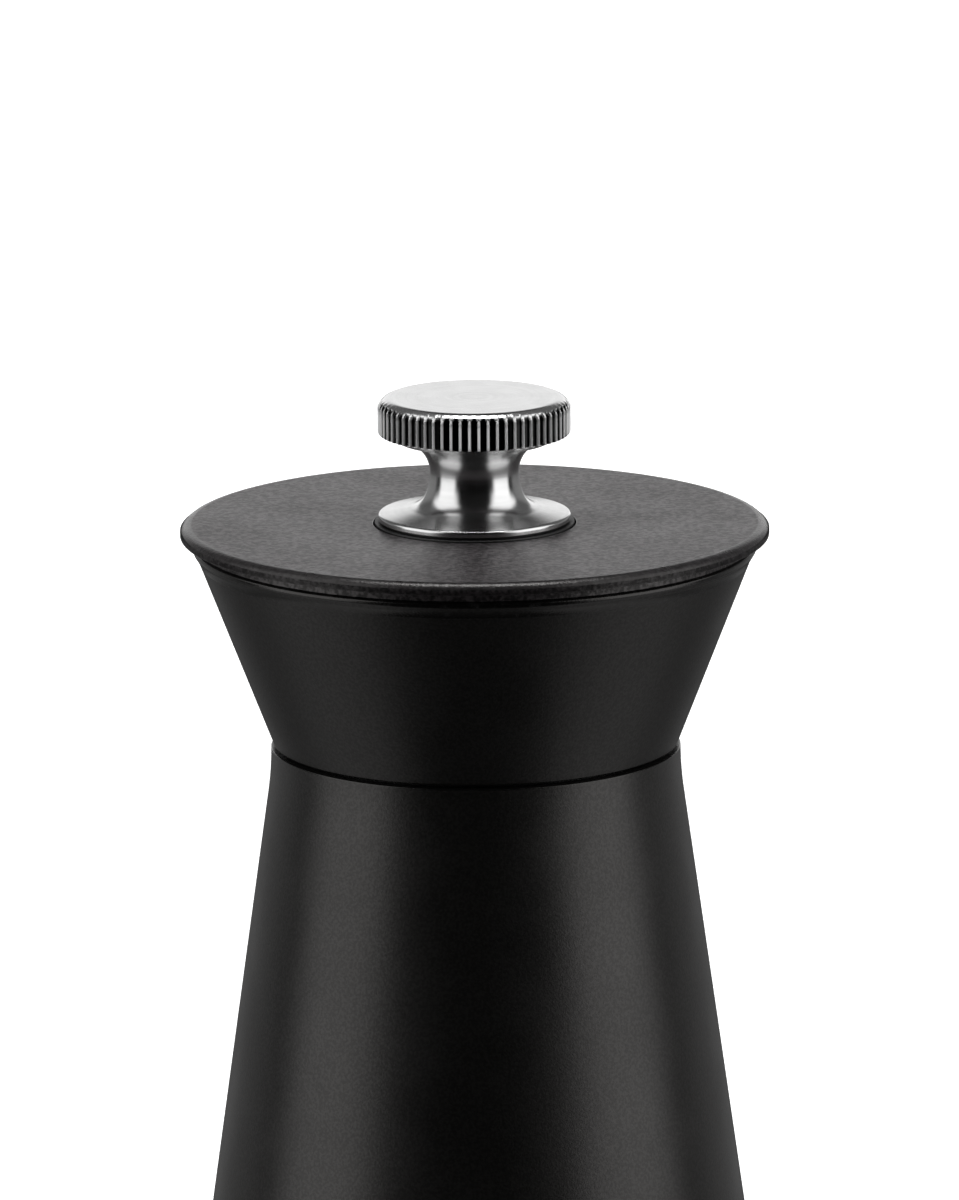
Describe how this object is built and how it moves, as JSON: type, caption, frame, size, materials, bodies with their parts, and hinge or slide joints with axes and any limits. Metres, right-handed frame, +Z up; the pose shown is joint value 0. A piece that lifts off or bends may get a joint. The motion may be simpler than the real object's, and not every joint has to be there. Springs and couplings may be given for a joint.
{
  "type": "pepper mill",
  "caption": "Head-turn pepper mill: conical black body, flared head with a flat lid, and a knurled steel knob that sets the grind.",
  "frame": {"origin": "middle of the underside, on the surface the mill stands on", "axes": "+Z up along the mill's axis; the mill is round, and +X lies along the bar across the grinder's outlet"},
  "size_m": [0.0682, 0.0682, 0.1257],
  "materials": {
    "black_coat": "fine-grained matte powder coat",
    "lid_black": "fine-grained matte",
    "knob_steel": "turned, satin top, bright knurl",
    "nylon_black": "matte moulded",
    "plastic_grey": "matte moulded",
    "acetal_white": "smooth, slightly waxy",
    "bright_steel": "plain drawn or stamped steel",
    "grinder_steel": "hardened, dark, with cut teeth",
    "bush_brass": "turned",
    "foot_rubber": "matte"
  },
  "bodies": {
    "body": {"body_shell": "black_coat", "hopper_liner": "plastic_grey", "spring_bridge": "bright_steel", "grinding_ring": "grinder_steel", "grinder_housing": "plastic_grey", "grinder_screws": "bright_steel", "bottom_bar": "bright_steel", "bottom_bar_screws": "bright_steel", "bottom_bush": "bush_brass", "base_plate": "nylon_black", "base_screws": "bright_steel", "foot_ring": "foot_rubber"},
    "glide_ring": {"glide_ring": "nylon_black"},
    "head": {"head_lid": "lid_black", "lid_screws": "bright_steel", "head_shell": "black_coat", "head_core": "plastic_grey", "drive_plate": "bright_steel", "drive_plate_screws": "bright_steel", "thrust_ring": "nylon_black"},
    "knob": {"adjusting_knob": "knob_steel"},
    "spring_seat": {"spring_seat": "acetal_white", "spring": "bright_steel"},
    "spindle": {"spindle": "bright_steel", "spindle_circlip": "grinder_steel", "cone_washer": "bright_steel", "grinding_cone": "grinder_steel"}
  },
  "joints": [
    {"name": "head_lift", "type": "slide", "parent": "body", "child": "glide_ring", "axis": [0, 0, 1], "range_m": [0, 0.045]},
    {"name": "head_turn", "type": "hinge", "parent": "glide_ring", "child": "head", "pos_m": [0, 0, 0.0873], "axis": [0, 0, 1], "continuous": true},
    {"name": "knob_turn", "type": "hinge", "parent": "head", "child": "knob", "pos_m": [0, 0, 0.11216], "axis": [0, 0, 1], "range_deg": [-136, 541]},
    {"name": "grind_gap", "type": "slide", "parent": "body", "child": "spring_seat", "axis": [0, 0, 1], "range_m": [-0.0012, 0.0003], "deforming": ["spring"]},
    {"name": "spindle_turn", "type": "hinge", "parent": "spring_seat", "child": "spindle", "pos_m": [0, 0, 0.0234], "axis": [0, 0, 1], "continuous": true}
  ],
  "couplings": [
    {"joint": "knob_turn", "follows": "grind_gap", "rad_per_m": -7854},
    {"joint": "spindle_turn", "follows": "head_turn", "ratio": 1}
  ]
}
